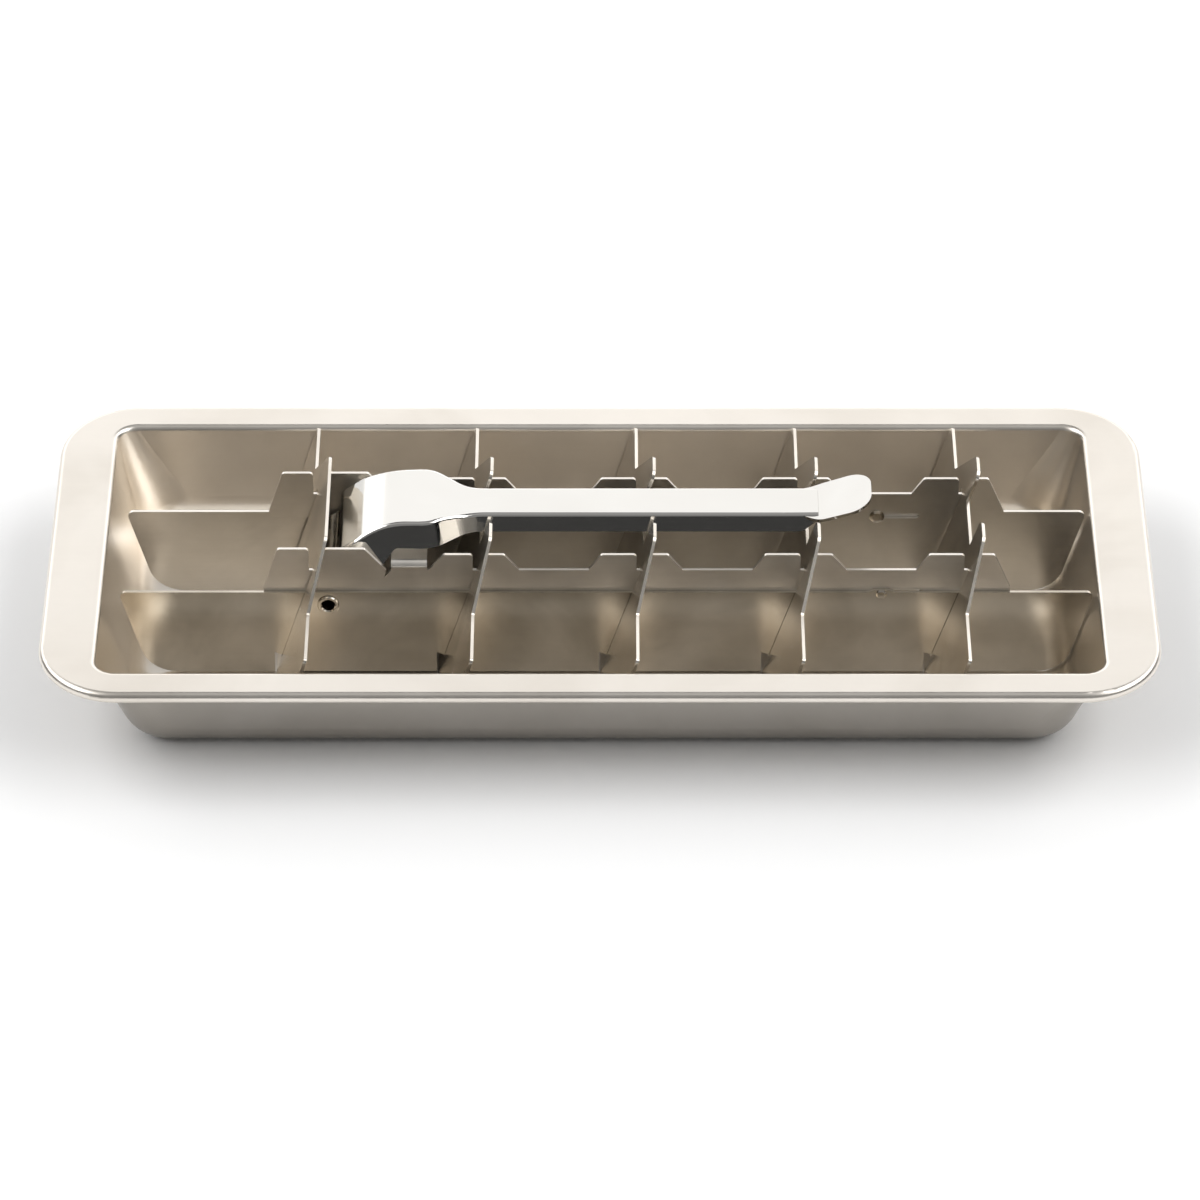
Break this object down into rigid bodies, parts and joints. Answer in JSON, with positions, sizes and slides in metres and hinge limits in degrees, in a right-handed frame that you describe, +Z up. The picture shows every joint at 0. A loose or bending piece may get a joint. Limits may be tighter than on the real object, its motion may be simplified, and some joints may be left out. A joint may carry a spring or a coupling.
{
  "type": "lever ice cube tray",
  "caption": "Pressed steel ice cube tray with a wide flanged rim and a lift-out grid whose lever slides a notched strip and tips the leaning dividers upright.",
  "frame": {"origin": "centre of the pan's flat underside", "axes": "+X along the tray towards the lever's free end, +Y across the tray to its back, +Z up"},
  "size_m": [0.28, 0.121, 0.0464],
  "materials": {
    "pan_steel": "satin",
    "grid_steel": "brushed",
    "polished_steel": "polished"
  },
  "bodies": {
    "pan": {"tray": "pan_steel"},
    "grid_frame": {"front_wall_plate": "grid_steel", "rear_wall_plate": "grid_steel", "pivot_tube": "grid_steel", "guide_rivet_front": "grid_steel", "guide_rivet_rear": "grid_steel"},
    "lever": {"lever": "polished_steel"},
    "slider": {"slider": "grid_steel"},
    "divider_1": {"divider_1": "grid_steel"},
    "divider_2": {"divider_2": "grid_steel"},
    "divider_3": {"divider_3": "grid_steel"},
    "divider_4": {"divider_4": "grid_steel"},
    "divider_5": {"divider_5": "grid_steel"}
  },
  "joints": [
    {"name": "grid_lift", "type": "slide", "parent": "pan", "child": "grid_frame", "axis": [0, 0, 1], "range_m": [0, 0.06]},
    {"name": "lever_hinge", "type": "hinge", "parent": "grid_frame", "child": "lever", "pos_m": [-0.06865, 0, 0.0226], "axis": [0, -1, 0], "range_deg": [0, 60]},
    {"name": "slider_slide", "type": "slide", "parent": "grid_frame", "child": "slider", "axis": [-1, 0, 0], "range_m": [0, 0.0097]},
    {"name": "divider_1_hinge", "type": "hinge", "parent": "grid_frame", "child": "divider_1", "pos_m": [-0.08205, 0, 0.0011], "axis": [0, -1, 0], "range_deg": [0, 17]},
    {"name": "divider_2_hinge", "type": "hinge", "parent": "grid_frame", "child": "divider_2", "pos_m": [-0.0408, 0, 0.0011], "axis": [0, -1, 0], "range_deg": [0, 17]},
    {"name": "divider_3_hinge", "type": "hinge", "parent": "grid_frame", "child": "divider_3", "pos_m": [0.00045, 0, 0.0011], "axis": [0, -1, 0], "range_deg": [0, 17]},
    {"name": "divider_4_hinge", "type": "hinge", "parent": "grid_frame", "child": "divider_4", "pos_m": [0.0417, 0, 0.0011], "axis": [0, -1, 0], "range_deg": [0, 17]},
    {"name": "divider_5_hinge", "type": "hinge", "parent": "grid_frame", "child": "divider_5", "pos_m": [0.08295, 0, 0.0011], "axis": [0, -1, 0], "range_deg": [0, 17]}
  ],
  "couplings": [
    {"joint": "slider_slide", "follows": "lever_hinge", "m_per_rad": 0.00926},
    {"joint": "divider_1_hinge", "follows": "lever_hinge", "ratio": 0.2833},
    {"joint": "divider_2_hinge", "follows": "lever_hinge", "ratio": 0.2833},
    {"joint": "divider_3_hinge", "follows": "lever_hinge", "ratio": 0.2833},
    {"joint": "divider_4_hinge", "follows": "lever_hinge", "ratio": 0.2833},
    {"joint": "divider_5_hinge", "follows": "lever_hinge", "ratio": 0.2833}
  ]
}
